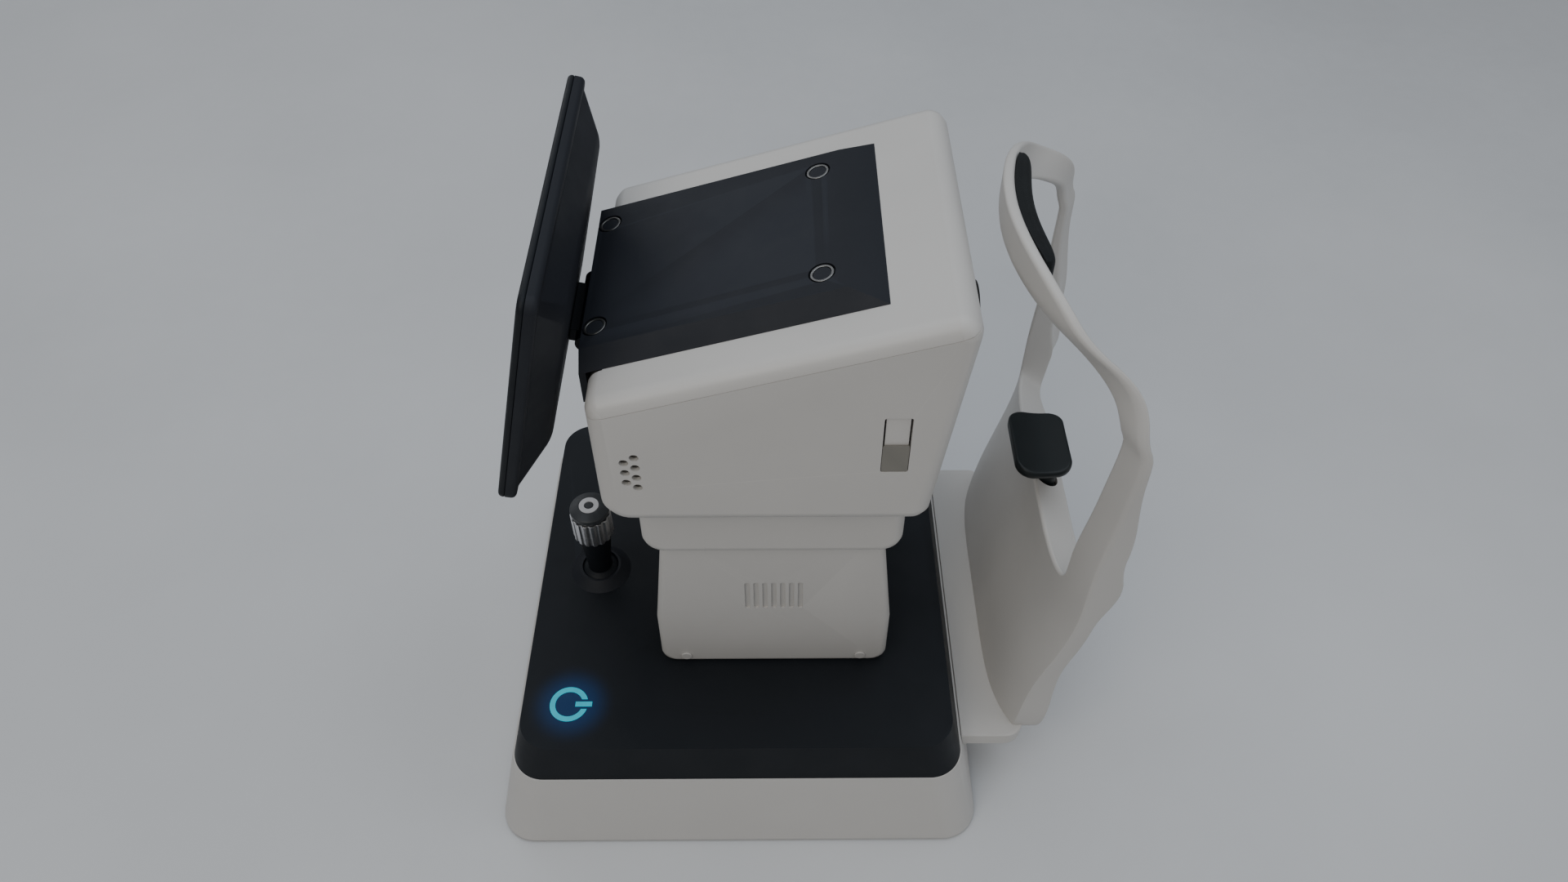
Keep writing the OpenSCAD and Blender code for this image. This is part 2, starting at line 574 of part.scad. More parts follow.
// Closed control polygon by mirroring, and a uniform cubic B-spline along it
function flip(p) = [-p.x, p.y];
function closed(pts) = concat([for (i = [0:last]) pts[i]], [for (i = [1:last - 1]) flip(pts[last - i])]);
function basis(u) = [pow(1 - u, 3), 3 * pow(u, 3) - 6 * u * u + 4,
    -3 * pow(u, 3) + 3 * u * u + 3 * u + 1, pow(u, 3)] / 6;
function spline(pts, i, u) = let (n = len(pts), b = basis(u))
    b[0] * pts[(i + n - 1) % n] + b[1] * pts[i] + b[2] * pts[(i + 1) % n] + b[3] * pts[(i + 2) % n];
frame_sub = 3;
function outline(pts) = let (c = closed(pts))
    [for (i = [0:len(c) - 1], k = [0:frame_sub - 1]) spline(c, i, k / frame_sub)];
frame_out = outline(outer_pts);
frame_in = outline(inner_pts);
edge = 2.4;
bands = 5;
// One ring of the frame: round the section from the outer edge to the opening and back
function ring_at(o, i) = let (w = norm(i - o), d = edge / w,
    steps = concat([0], [for (k = [0:bands]) d + (1 - 2 * d) * k / bands], [1]), top = len(steps) - 1,
    drop = 11 * smooth((228 - i.y) / 14))
    concat([for (k = [0:top]) let (q = o + (i - o) * steps[k], back_off = k % top == 0 ? edge : 0)
            [frame_x(q.x, q.y) + back_off, q.x, q.y]],
        [for (k = [top:-1:0]) let (q = o + (i - o) * steps[k], back_off = k % top == 0 ? edge : 0)
            [frame_back(q.x, q.y) - back_off, q.x, q.y - drop * steps[k]]]);
ring_n = 2 * (bands + 3);
frame_n = len(frame_out);
module frame_loop() polyhedron(
    points = [for (j = [0:frame_n - 1]) each ring_at(frame_out[j], frame_in[j])],
    faces = [for (j = [0:frame_n - 1], k = [0:ring_n - 1])
        let (a = j * ring_n, b = (j + 1) % frame_n * ring_n, m = (k + 1) % ring_n)
        each [[a + k, b + k, a + m], [a + m, b + k, b + m]]]);
post_x = 217;
sleeve_low = 88;
sleeve_high = 196;
foot_half = 126;
module chin_frame() color(white) at_base() difference() {
    union() {
        frame_loop();
        hull() {
            box([base_at(foot_low) + gap, -foot_half, foot_low], [175, foot_half, foot_low + thin]);
            box([base_at(foot_top) + gap, -foot_half, foot_top - thin], [175, foot_half, foot_top]);
            for (s = [-1, 1]) translate([192, s * (foot_half - 14), foot_low])
                cylinder(r = 14, h = foot_top - foot_low, $fn = 32);
        }
    }
    translate([post_x, 0, sleeve_low - 1]) cylinder(r = 9.1, h = 140);
    for (x = [175, 190], y = [-30, 30]) translate([x, y, foot_low - 1]) cylinder(r = 2, h = 9, $fn = 24);
}
module chin_bracket() color(steel) at_base() {
    round_box([110, -40, 50], [200, 40, foot_low - 0.1], 6);
    box([110, -40, foot_h + plate_h], [114, 40, 50.5]);
    for (x = [175, 190], y = [-30, 30]) translate([x, y, 47]) {
        cylinder(r = 3.6, h = 3);
        cylinder(r = 1.9, h = 14, $fn = 24);
    }
}
module chin_sleeve() color("#9a9da2") at_base() translate([post_x, 0, sleeve_low])
    tube(9, post_r + fit, sleeve_high - sleeve_low);
module chin_post() color(steel) at_base() translate([post_x, 0, 98]) cylinder(r = post_r, h = 110);
cup_x = 207;
module chin_cup() color("#2a2d31") at_base() difference() {
    union() {
        hull() for (s = [-1, 1]) {
            translate([cup_x - 8, s * 17, cup_top - 13]) cylinder(r = 10, h = thin, $fn = 32);
            translate([cup_x + 8, s * 17, cup_top - 13]) cylinder(r = 9, h = thin, $fn = 32);
            translate([cup_x - 7, s * 17, cup_top - 8]) cylinder(r = 12, h = 8, $fn = 32);
            translate([cup_x + 8, s * 17, cup_top - 8]) cylinder(r = 11, h = 8, $fn = 32);
        }
        hull() {
            box([cup_x, -8, cup_top - 13], [cup_x + 16, 8, cup_top - 12.9]);
            translate([post_x, 0, 201]) cylinder(r = 6.8, h = thin, $fn = 32);
        }
    }
    translate([cup_x + 2, 0, cup_top + 52]) rotate([90, 0, 0])
        cylinder(r = 58, h = 80, center = true, $fn = 128);
    translate([post_x, 0, 195]) cylinder(r = post_r + fit, h = 13);
}
pad_low = 417;
pad_high = 439;
pad_half = 50;
pad_thick = 11;
pad_steps = 20;
// Pad section at y, on the back of the forehead band: down its front, then up its padded side
pad_side = 4;
function pad_x(y, z) = frame_x(y, z) + frame_thick(z);
function pad_at(y) = let (zs = [for (k = [0:pad_side]) pad_high - (pad_high - pad_low) * k / pad_side])
    concat([for (z = zs) [pad_x(y, z) + gap, y, z]],
        [for (k = [pad_side:-1:0]) [pad_x(y, zs[k]) + pad_thick - (k % pad_side == 0 ? 3 : 0), y, zs[k]]]);
pad_n = 2 * pad_side + 2;
module forehead_pad() color("#202326") at_base() polyhedron(
    points = [for (j = [0:pad_steps]) each pad_at(pad_half * (2 * j / pad_steps - 1))],
    faces = concat([for (j = [0:pad_steps - 1], k = [0:pad_n - 1])
            let (a = j * pad_n, b = a + pad_n, m = (k + 1) % pad_n)
            each [[a + k, a + m, b + k], [a + m, b + m, b + k]]],
        [for (k = [0:pad_side - 1]) let (c = pad_n - 2 - k) each [[k, c + 1, c], [k, c, k + 1]]],
        [for (k = [0:pad_side - 1]) let (e = pad_steps * pad_n, c = pad_n - 2 - k)
            each [[e + k, e + k + 1, e + c], [e + k, e + c, e + c + 1]]]));

base_shell();
base_plate();
rubber_feet();
deck();
power_ring();
main_board();
power_supply();
inlet_socket();
inlet_pins();
pedestal_cover();
pedestal_caps();
guide_rods();
column_brace();
lift_motor();
lead_screw();
neck_cover();
lift_plate();
lift_bushes();
lift_nut();
y_rails();
cross_plate();
x_rails();
head_shell();
head_cover();
top_cover();
cover_rings();
cover_plugs();
speaker();
slider_track();
lock_slider();
lens_barrel();
lens_hood();
led_ring();
lens_glass();
head_chassis();
optics_tube();
camera_board();
hinge_bracket();
hinge_pin();
screen_knuckle();
screen_back();
screen_bezel();
display_panel();
display_glass();
joy_bezel();
joy_housing();
joy_yoke();
joy_ball();
joy_stem();
joy_grip();
joy_cap();
joy_ring();
joy_button();
chin_frame();
chin_bracket();
chin_sleeve();
chin_post();
chin_cup();
forehead_pad();
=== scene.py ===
"""Tabletop autorefractor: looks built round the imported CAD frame, in metres."""

import json
import math

import bmesh
import bpy
from mathutils import Matrix, Vector


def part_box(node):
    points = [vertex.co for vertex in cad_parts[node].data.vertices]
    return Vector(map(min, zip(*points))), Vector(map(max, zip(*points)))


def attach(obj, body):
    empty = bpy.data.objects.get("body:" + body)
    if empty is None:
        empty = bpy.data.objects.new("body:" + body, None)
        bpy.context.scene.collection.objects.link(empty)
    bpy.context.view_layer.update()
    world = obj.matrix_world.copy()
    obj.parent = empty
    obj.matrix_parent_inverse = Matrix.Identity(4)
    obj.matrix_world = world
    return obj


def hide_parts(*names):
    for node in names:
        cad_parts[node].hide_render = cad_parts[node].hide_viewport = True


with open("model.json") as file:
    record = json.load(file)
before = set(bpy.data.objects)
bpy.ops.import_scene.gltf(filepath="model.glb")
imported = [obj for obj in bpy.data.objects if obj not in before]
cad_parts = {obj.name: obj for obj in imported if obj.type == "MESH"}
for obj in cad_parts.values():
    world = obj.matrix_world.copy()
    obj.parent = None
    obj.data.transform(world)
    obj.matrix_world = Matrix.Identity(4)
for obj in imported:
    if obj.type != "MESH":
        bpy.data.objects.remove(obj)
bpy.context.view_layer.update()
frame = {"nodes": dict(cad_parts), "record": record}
NODES = frame["nodes"]


# ---------------------------------------------------------------- materials
class Shader:
    """A small helper round one node material."""

    def __init__(self, name, color, rough, metal=0.0, **extra):
        self.mat = bpy.data.materials.new(name)
        self.mat.use_nodes = True
        self.tree = self.mat.node_tree
        self.tree.nodes.clear()
        out = self.tree.nodes.new("ShaderNodeOutputMaterial")
        self.bsdf = self.tree.nodes.new("ShaderNodeBsdfPrincipled")
        self.tree.links.new(self.bsdf.outputs[0], out.inputs[0])
        self.coord = self.tree.nodes.new("ShaderNodeTexCoord").outputs["Object"]
        self.bsdf.inputs["Base Color"].default_value = (*color, 1)
        self.bsdf.inputs["Roughness"].default_value = rough
        self.bsdf.inputs["Metallic"].default_value = metal
        self.set(**extra)

    def node(self, kind, **props):
        n = self.tree.nodes.new(kind)
        for k, v in props.items():
            setattr(n, k, v)
        return n

    def link(self, a, b):
        self.tree.links.new(a, b)

    def feed(self, output, name):
        """Drives one input of the surface, such as its Base Color."""
        self.link(output, self.bsdf.inputs[name])

    def set(self, **values):
        for key, value in values.items():
            self.bsdf.inputs[key.replace("_", " ")].default_value = value

    def noise(self, scale, detail=3.0, rough=0.5, stretch=(1, 1, 1)):
        mapping = self.node("ShaderNodeMapping")
        mapping.inputs["Scale"].default_value = stretch
        self.link(self.coord, mapping.inputs["Vector"])
        n = self.node("ShaderNodeTexNoise")
        n.inputs["Scale"].default_value = scale
        n.inputs["Detail"].default_value = detail
        n.inputs["Roughness"].default_value = rough
        self.link(mapping.outputs[0], n.inputs["Vector"])
        return n.outputs["Fac"]

    def ramp(self, fac, low, high, start=0.3, end=0.7):
        r = self.node("ShaderNodeValToRGB")
        r.color_ramp.elements[0].position = start
        r.color_ramp.elements[1].position = end
        r.color_ramp.elements[0].color = (*low, 1)
        r.color_ramp.elements[1].color = (*high, 1)
        self.link(fac, r.inputs["Fac"])
        return r.outputs["Color"]

    def spread(self, fac, low, high, start=0.3, end=0.7):
        m = self.node("ShaderNodeMapRange")
        m.inputs["From Min"].default_value = start
        m.inputs["From Max"].default_value = end
        m.inputs["To Min"].default_value = low
        m.inputs["To Max"].default_value = high
        self.link(fac, m.inputs["Value"])
        return m.outputs["Result"]

    def bump(self, height, distance, strength):
        b = self.node("ShaderNodeBump")
        b.inputs["Distance"].default_value = distance
        b.inputs["Strength"].default_value = strength
        self.link(height, b.inputs["Height"])
        self.feed(b.outputs["Normal"], "Normal")


def shade(color, k):
    """The colour made k times as bright."""
    return tuple(min(1.0, c * k) for c in color)


def plastic(name, color, rough, grain=2600.0, depth=0.00003, vary=0.05, wear=0.05, **extra):
    """Moulded plastic: fine spark-eroded grain, soft tone drift and a painted highlight on the
    convex edges.
    """
    s = Shader(name, color, rough, **extra)
    drift = s.noise(14.0, 4.0, 0.55)
    base = s.ramp(drift, shade(color, 1 - vary), shade(color, 1 + vary))
    # painted highlight: convex edges, found by pointiness, get a lighter colour; wear sets how
    # much lighter
    edge = s.node("ShaderNodeNewGeometry").outputs["Pointiness"]
    painted_highlight_mask = s.spread(edge, 0.0, 1.0, 0.52, 0.62)
    mix = s.node("ShaderNodeMixRGB")
    s.link(painted_highlight_mask, mix.inputs[0])
    s.link(base, mix.inputs[1])
    mix.inputs[2].default_value = (*shade(color, 1 + 2 * wear), 1)
    s.feed(mix.outputs[0], "Base Color")
    smudge = s.noise(32.0, 5.0, 0.6)
    s.feed(s.spread(smudge, rough - 0.06, rough + 0.07), "Roughness")
    grain_tex = s.noise(grain, 2.0, 0.6)
    s.bump(grain_tex, depth, 0.5)
    return s.mat


def brushed(name, color, rough, stretch=(1, 1, 40)):
    """Machined metal: fine lines along one direction."""
    s = Shader(name, color, rough, metal=1.0)
    lines = s.noise(260.0, 3.0, 0.6, stretch)
    s.feed(s.ramp(lines, shade(color, 0.86), shade(color, 1.08)), "Base Color")
    s.feed(s.spread(lines, rough - 0.07, rough + 0.1), "Roughness")
    s.bump(lines, 0.00002, 0.4)
    return s.mat


WHITE = (0.56, 0.545, 0.52)
DARK = (0.0075, 0.0095, 0.0125)
SOFT_SHINE = 0.22

# The dark plastics get a stronger painted edge highlight than the white shell.
DARK_PLASTIC = {"vary": 0.08, "wear": 0.2, "Specular_IOR_Level": SOFT_SHINE}

mat = {
    "white_shell": plastic(
        "white_shell_plastic", WHITE, 0.46, grain=2200, depth=0.00002, vary=0.018, wear=0.03
    ),
    "dark_shell": plastic("dark_shell_plastic", DARK, 0.5, **DARK_PLASTIC),
    "charcoal_cover": plastic(
        "charcoal_cover_plastic", (0.015, 0.017, 0.022), 0.55,
        grain=1800, depth=0.00004, vary=0.07, wear=0.2, Specular_IOR_Level=SOFT_SHINE,
    ),
    "grey_plastic": plastic(
        "grey_plastic", (0.022, 0.022, 0.021), 0.5, vary=0.06, wear=0.2, Specular_IOR_Level=0.3
    ),
    "cup_plastic": plastic(
        "cup_plastic", (0.007, 0.010, 0.011), 0.42,
        grain=1500, vary=0.08, wear=0.1, Specular_IOR_Level=0.3,
    ),
    "slider_plastic": plastic("slider_plastic", (0.20, 0.19, 0.165), 0.55, vary=0.04, wear=0.05),
    "black_gloss": plastic(
        "black_gloss_plastic", (0.014, 0.016, 0.019), 0.2,
        grain=900, depth=0.00001, vary=0.1, wear=0.3,
    ),
    "steel": brushed("brushed_steel", (0.50, 0.51, 0.53), 0.34),
    "ring_silver": brushed("ring_silver", (0.30, 0.30, 0.295), 0.34, (30, 30, 1)),
    "cap_plastic": plastic("cap_plastic", (0.030, 0.034, 0.038), 0.45, vary=0.06, wear=0.15),
    "pale_ring": plastic(
        "pale_ring", (0.62, 0.63, 0.65), 0.34, grain=1500, vary=0.03, wear=0.03
    ),
    "grip_metal": brushed("grip_metal", (0.66, 0.66, 0.67), 0.3, (1, 1, 60)),
    "bronze": brushed("bearing_bronze", (0.50, 0.37, 0.18), 0.36),
}


def rubber():
    """Matt black rubber of the feet."""
    color = (0.02, 0.02, 0.021)
    s = Shader("black_rubber", color, 0.82)
    tex = s.noise(900.0, 3.0, 0.7)
    s.feed(s.ramp(s.noise(40.0), shade(color, 0.8), shade(color, 1.35)), "Base Color")
    s.feed(s.spread(tex, 0.74, 0.92), "Roughness")
    s.bump(tex, 0.00008, 0.6)
    return s.mat


mat["black_rubber"] = rubber()


def pad_skin():
    """Soft leather-like skin of the forehead pad."""
    color = (0.0065, 0.0085, 0.0095)
    s = Shader("pad_skin", color, 0.62, Specular_IOR_Level=0.25)
    v = s.node("ShaderNodeTexVoronoi", feature="DISTANCE_TO_EDGE")
    v.inputs["Scale"].default_value = 700.0
    s.link(s.coord, v.inputs["Vector"])
    crease = s.spread(v.outputs["Distance"], 0.0, 1.0, 0.0, 0.12)
    s.feed(s.ramp(s.noise(60.0, 4.0), shade(color, 0.8), shade(color, 1.3)), "Base Color")
    s.feed(s.spread(s.noise(90.0, 4.0), 0.55, 0.72), "Roughness")
    s.bump(crease, 0.00012, 0.7)
    s.set(Sheen_Weight=0.03)
    return s.mat


mat["soft_pad"] = pad_skin()


def circuit():
    """Green circuit board with faint copper lines."""
    color = (0.018, 0.12, 0.055)
    s = Shader("circuit_board", color, 0.4)
    brick = s.node("ShaderNodeTexBrick")
    brick.inputs["Scale"].default_value = 120.0
    brick.inputs["Color1"].default_value = (*color, 1)
    brick.inputs["Color2"].default_value = (*shade(color, 0.7), 1)
    brick.inputs["Mortar"].default_value = (0.12, 0.10, 0.03, 1)
    s.link(s.coord, brick.inputs["Vector"])
    s.feed(brick.outputs["Color"], "Base Color")
    s.bump(brick.outputs["Fac"], 0.0001, 0.5)
    return s.mat


mat["board"] = circuit()


def light_guide():
    """Backlit translucent guide: cyan, a little uneven along its length."""
    s = Shader("light_guide", (0.004, 0.12, 0.16), 0.35)
    glow = s.noise(160.0, 2.0)
    tone = s.ramp(glow, (0.0, 0.50, 0.66), (0.0, 0.60, 0.76))
    s.feed(tone, "Emission Color")
    s.set(Emission_Strength=0.62)
    s.feed(s.spread(glow, 0.3, 0.4), "Roughness")
    return s.mat


mat["light_guide"] = light_guide()


def deck_plastic():
    """The deck's plastic, with a painted glow round the power key: emission that fades with the
    distance from the key's light guide.
    """
    material = plastic("deck_plastic", DARK, 0.5, **DARK_PLASTIC)
    tree = material.node_tree
    bsdf = next(n for n in tree.nodes if n.type == "BSDF_PRINCIPLED")
    key_low, key_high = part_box("power_ring")
    middle_x, middle_y = [(key_low[i] + key_high[i]) / 2 for i in (0, 1)]
    coord = tree.nodes.new("ShaderNodeTexCoord")
    away = tree.nodes.new("ShaderNodeVectorMath")
    away.operation = "DISTANCE"
    away.inputs[1].default_value = (middle_x, middle_y, key_high[2])
    tree.links.new(coord.outputs["Object"], away.inputs[0])
    # painted glow: the guide's light on the deck, painted as emission, strongest beside the key
    # and gone 34 mm away
    painted_glow = tree.nodes.new("ShaderNodeMapRange")
    painted_glow.interpolation_type = "SMOOTHERSTEP"
    painted_glow.inputs["From Min"].default_value = 0.006
    painted_glow.inputs["From Max"].default_value = 0.034
    painted_glow.inputs["To Min"].default_value = 0.14
    painted_glow.inputs["To Max"].default_value = 0.0
    tree.links.new(away.outputs["Value"], painted_glow.inputs["Value"])
    tree.links.new(painted_glow.outputs["Result"], bsdf.inputs["Emission Strength"])
    # colour of the painted glow
    bsdf.inputs["Emission Color"].default_value = (0.0, 0.13, 0.50, 1)
    return material


mat["deck_plastic"] = deck_plastic()


def coated_glass():
    """Lens glass, whose coating turns from blue to violet at a glancing angle."""
    s = Shader("coated_glass", (0.02, 0.035, 0.07), 0.04)
    s.set(Coat_Weight=1.0, Coat_Roughness=0.02, Specular_IOR_Level=0.8)
    lw = s.node("ShaderNodeLayerWeight")
    lw.inputs["Blend"].default_value = 0.35
    coating = s.ramp(lw.outputs["Facing"], (0.01, 0.02, 0.06), (0.09, 0.03, 0.12), 0.0, 0.9)
    s.feed(coating, "Base Color")
    s.feed(s.spread(s.noise(80.0, 4.0), 0.02, 0.07), "Roughness")
    return s.mat


mat["glass"] = coated_glass()


def cover_glass():
    """Dark glass of the display, which is off, with faint smears."""
    s = Shader("display_cover_glass", (0.006, 0.007, 0.009), 0.08)
    s.set(Coat_Weight=0.6, Coat_Roughness=0.03)
    s.feed(s.spread(s.noise(22.0, 6.0, 0.65), 0.05, 0.16), "Roughness")
    s.feed(s.ramp(s.noise(9.0), (0.005, 0.006, 0.008), (0.009, 0.011, 0.014)), "Base Color")
    return s.mat


mat["display"] = cover_glass()


def epoxy():
    """Milky domes of the small lamps round the lens."""
    s = Shader("led_epoxy", (0.62, 0.60, 0.54), 0.12)
    s.set(Coat_Weight=0.8)
    s.feed(s.ramp(s.noise(300.0), (0.55, 0.53, 0.47), (0.7, 0.68, 0.6)), "Base Color")
    return s.mat


mat["led_lens"] = epoxy()


def speaker_mesh():
    """Woven grille cloth behind the sound holes."""
    s = Shader("grille_cloth", (0.075, 0.07, 0.062), 0.7)
    w = s.node("ShaderNodeTexVoronoi")
    w.inputs["Scale"].default_value = 1400.0
    s.link(s.coord, w.inputs["Vector"])
    threads = s.ramp(w.outputs["Distance"], (0.05, 0.047, 0.042), (0.12, 0.115, 0.10), 0.1, 0.6)
    s.feed(threads, "Base Color")
    s.bump(w.outputs["Distance"], 0.0002, 0.8)
    return s.mat


mat["grille"] = speaker_mesh()

# Each node takes the material of its slot, unless LOOK names a finer one.
SLOTS = {x["node"]: x["material_slot"] for x in frame["record"]["subparts"]}
LOOK = {
    "speaker": "grille",
    "lock_slider": "slider_plastic",
    "joy_ring": "pale_ring",
    "joy_cap": "cap_plastic",
    "joy_button": "cap_plastic",
    "joy_bezel": "charcoal_cover",
    "chin_cup": "cup_plastic",
    "deck": "deck_plastic",
}


def look_of(name):
    return mat[LOOK.get(name, SLOTS[name])]


def paint(obj, material):
    if not obj.material_slots:
        obj.data.materials.append(material)
    for s in obj.material_slots:
        s.material = material


for name, obj in NODES.items():
    paint(obj, look_of(name))


# ---------------------------------------------------------------- finer meshes over the CAD frame
BODIES = frame["record"]["behaviour"]["bodies"]
BODY_OF = {n: body for body, members in BODIES.items() for n in members}

SHARP = 32.0  # degrees: edges that turn more than this stay sharp
WELD = 2e-6  # vertices closer than this are one
FLAT = 0.3  # degrees: faces that turn less than this are one


def new_piece(name, bm, material, smooth_angle=SHARP):
    mesh = bpy.data.meshes.new(name)
    bm.to_mesh(mesh)
    bm.free()
    obj = bpy.data.objects.new(name, mesh)
    bpy.context.scene.collection.objects.link(obj)
    mesh.materials.append(material)
    finish_normals(obj, smooth_angle)
    return obj


def finish_normals(obj, angle):
    obj.data.shade_smooth()
    obj.data.set_sharp_from_angle(angle=math.radians(angle))


def bake_modifiers(obj):
    """Applies what is on the object, so that its own mesh is final."""
    bpy.context.view_layer.update()
    deps = bpy.context.evaluated_depsgraph_get()
    mesh = bpy.data.meshes.new_from_object(obj.evaluated_get(deps))
    obj.modifiers.clear()
    obj.data = mesh


def weigh_normals(obj):
    """Lets the large faces decide the shading, so flat areas stay flat beside rounded edges."""
    mod = obj.modifiers.new("weights", "WEIGHTED_NORMAL")
    mod.keep_sharp = True
    mod.weight = 50
    bake_modifiers(obj)


def refine(name, width, rounds=()):
    """A copy of a CAD node with its edges broken by width and its rounded corners shaded smooth.

    rounds lists (test, radius) pairs: edges whose two ends pass the test get that larger radius.
    """
    bm = bmesh.new()
    bm.from_mesh(NODES[name].data)
    bmesh.ops.remove_doubles(bm, verts=bm.verts, dist=WELD)
    bmesh.ops.dissolve_limit(
        bm, angle_limit=math.radians(FLAT), verts=bm.verts, edges=bm.edges
    )
    for test, radius in rounds:
        edges = [
            e
            for e in bm.edges
            if len(e.link_faces) == 2
            and e.calc_face_angle(0) > math.radians(15)
            and all(test(v.co) for v in e.verts)
        ]
        bmesh.ops.bevel(
            bm, geom=edges, offset=radius, segments=4, profile=0.5, affect="EDGES",
            clamp_overlap=True,
        )
    obj = new_piece(name + "_fine", bm, look_of(name))
    mod = obj.modifiers.new("edges", "BEVEL")
    mod.width = width
    mod.segments = 2
    mod.limit_method = "ANGLE"
    mod.angle_limit = math.radians(SHARP)
    mod.miter_outer = "MITER_ARC"
    bake_modifiers(obj)
    finish_normals(obj, 40.0)
    weigh_normals(obj)
    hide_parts(name)
    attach(obj, BODY_OF[name])


BASE_X = -0.03518  # the base's middle in the shared frame
SCREEN_AT = Vector((BASE_X - 0.094, 0.0, 0.4588))  # top of the screen's front
SCREEN_LEAN = math.radians(13.85)
SCREEN_HALF = 0.1059
SCREEN_TALL = 0.153
SCREEN_THICK = 0.0105
RISE_BACK = 0.025  # back of the raised middle of the screen's rear cover
HINGE_HALF = 0.036
HINGE_LOW, HINGE_HIGH = -0.054, -0.032
ON_PLANE = 0.0001


def on_screen(v):
    """A point in the screen's own frame: x out of its back, z up along it."""
    d = v - SCREEN_AT
    c, s = math.cos(SCREEN_LEAN), math.sin(SCREEN_LEAN)
    return Vector((d.x * c - d.z * s, d.y, d.x * s + d.z * c))


def near_rim(q, margin):
    return abs(q.y) > SCREEN_HALF - margin or q.z > -margin or q.z < margin - SCREEN_TALL


def front_rim(v):
    q = on_screen(v)
    return q.x < ON_PLANE and near_rim(q, 0.009)


def back_rim(v):
    q = on_screen(v)
    return abs(q.x - SCREEN_THICK) < ON_PLANE and near_rim(q, 0.003)


def back_rise(v):
    q = on_screen(v)
    at_hinge = abs(q.y) < HINGE_HALF and HINGE_LOW < q.z < HINGE_HIGH
    return abs(q.x - RISE_BACK) < ON_PLANE and not at_hinge


ROUNDS = {
    "screen_bezel": [(front_rim, 0.0026)],
    "screen_back": [(back_rim, 0.0032), (back_rise, 0.005)],
}

for node_name, edge_width in (
    ("base_shell", 0.0008),
    ("deck", 0.0007),
    ("pedestal_cover", 0.0003),
    ("neck_cover", 0.0004),
    ("head_shell", 0.0003),
    ("head_cover", 0.0004),
    ("top_cover", 0.0006),
    ("screen_back", 0.0010),
    ("screen_bezel", 0.0009),
    ("joy_cap", 0.0003),
    ("joy_grip", 0.0002),
    ("joy_ring", 0.0003),
    ("joy_button", 0.0003),
    ("joy_bezel", 0.0003),
    ("joy_stem", 0.0003),
    ("lock_slider", 0.0002),
    ("lens_barrel", 0.0005),
    ("lens_hood", 0.0003),
    ("cover_rings", 0.0003),
    ("cover_plugs", 0.0003),
    ("pedestal_caps", 0.0004),
    ("hinge_bracket", 0.0004),
    ("screen_knuckle", 0.0005),
    ("inlet_socket", 0.0004),
    ("rubber_feet", 0.0005),
):
    refine(node_name, edge_width, rounds=ROUNDS.get(node_name, ()))


# ---------------------------------------------------------------- chin and forehead rest
# Lengths from here to the end of chin_cup are in millimetres; mm() turns them into metres.
POST_X = 217  # axis of the chin post
EDGE = 2.4  # rounding of the rest's edges and of the cup's lip


def smooth(t):
    u = min(1.0, max(0.0, t))
    return u * u * (3 - 2 * u)


def frame_x(y, z):
    """Front face of the rest at height z, y from the middle, in mm from the base's middle."""
    foot = 183
    lean = 23.5 * smooth((z - 56) / 155)
    swell = 2 * smooth((z - 240) / 60)
    brow = 53 * smooth((z - 356) / 66)
    bow = 0.0032 * smooth((z - 362) / 45)
    flare = 10.5 * (min(abs(y), 122) / 109.4) ** 5
    return foot + lean + swell - brow + flare + bow * y * y


def frame_thick(z):
    """Thickness of the rest at height z."""
    return 24 - 8 * smooth((z - 215) / 50) - 9.5 * smooth((z - 265) / 80)


def frame_thin(y, z):
    """How much thinner the lower part is towards its outer edges."""
    lower = 12 * (1 - smooth((z - 190) / 52)) - 8 * smooth((150 - z) / 70)
    return lower * smooth((abs(y) - 50) / 50)


def frame_back(y, z):
    """Back face of the rest, with the rib that holds the chin post."""
    x = frame_x(y, z) + frame_thick(z) - frame_thin(y, z)
    rib = 229.5 - 23 * (1 - smooth((z - 54) / 36))
    rise = max(0.0, rib - x) if z < 222 else 0.0
    return x + rise * (1 - smooth((abs(y) - 15) / 26))


OUTER = [
    (0, 54), (20, 54), (40, 54), (80, 54), (112, 54), (119, 66), (117, 92), (115, 125),
    (117, 166), (117, 210), (117, 250), (118, 290), (120, 330), (121, 362), (110, 386),
    (98, 408), (82, 425), (58, 437), (28, 441), (0, 441),
]
INNER = [
    (0, 211), (17, 211), (34, 211), (64, 211), (84, 212), (93, 216), (95, 225), (95, 236),
    (95, 246), (95, 256), (96, 272), (98, 296), (101, 328), (104, 360), (98, 379), (84, 392),
    (73, 404), (54, 413), (28, 416), (0, 416),
]


def outline(points, steps):
    """A closed uniform cubic B-spline round the control points and their mirror images."""
    ring = points + [(-y, z) for y, z in points[-2:0:-1]]
    n = len(ring)
    out = []
    for i in range(n):
        for k in range(steps):
            u = k / steps
            w = ((1 - u) ** 3, 3 * u**3 - 6 * u * u + 4, -3 * u**3 + 3 * u * u + 3 * u + 1, u**3)
            q = [ring[(i + j - 1) % n] for j in range(4)]
            out.append(tuple(sum(w[j] * q[j][c] for j in range(4)) / 6 for c in range(2)))
    return out


def mm(x, y, z):
    """A point in metres from millimetres, x from the base's middle."""
    return (x / 1000 + BASE_X, y / 1000, z / 1000)


def closed_loops(rings, wrap):
    """A bmesh from rings of equal length; wrap joins last to first, else the ends are capped."""
    bm = bmesh.new()
    rows = [[bm.verts.new(p) for p in ring] for ring in rings]
    count = len(rows[0])
    for j in range(len(rows) if wrap else len(rows) - 1):
        a, b = rows[j], rows[(j + 1) % len(rows)]
        for k in range(count):
            m = (k + 1) % count
            bm.faces.new((a[k], b[k], b[m], a[m]))
    if not wrap:
        bm.faces.new(rows[0])
        bm.faces.new(reversed(rows[-1]))
    bmesh.ops.recalc_face_normals(bm, faces=bm.faces)
    return bm


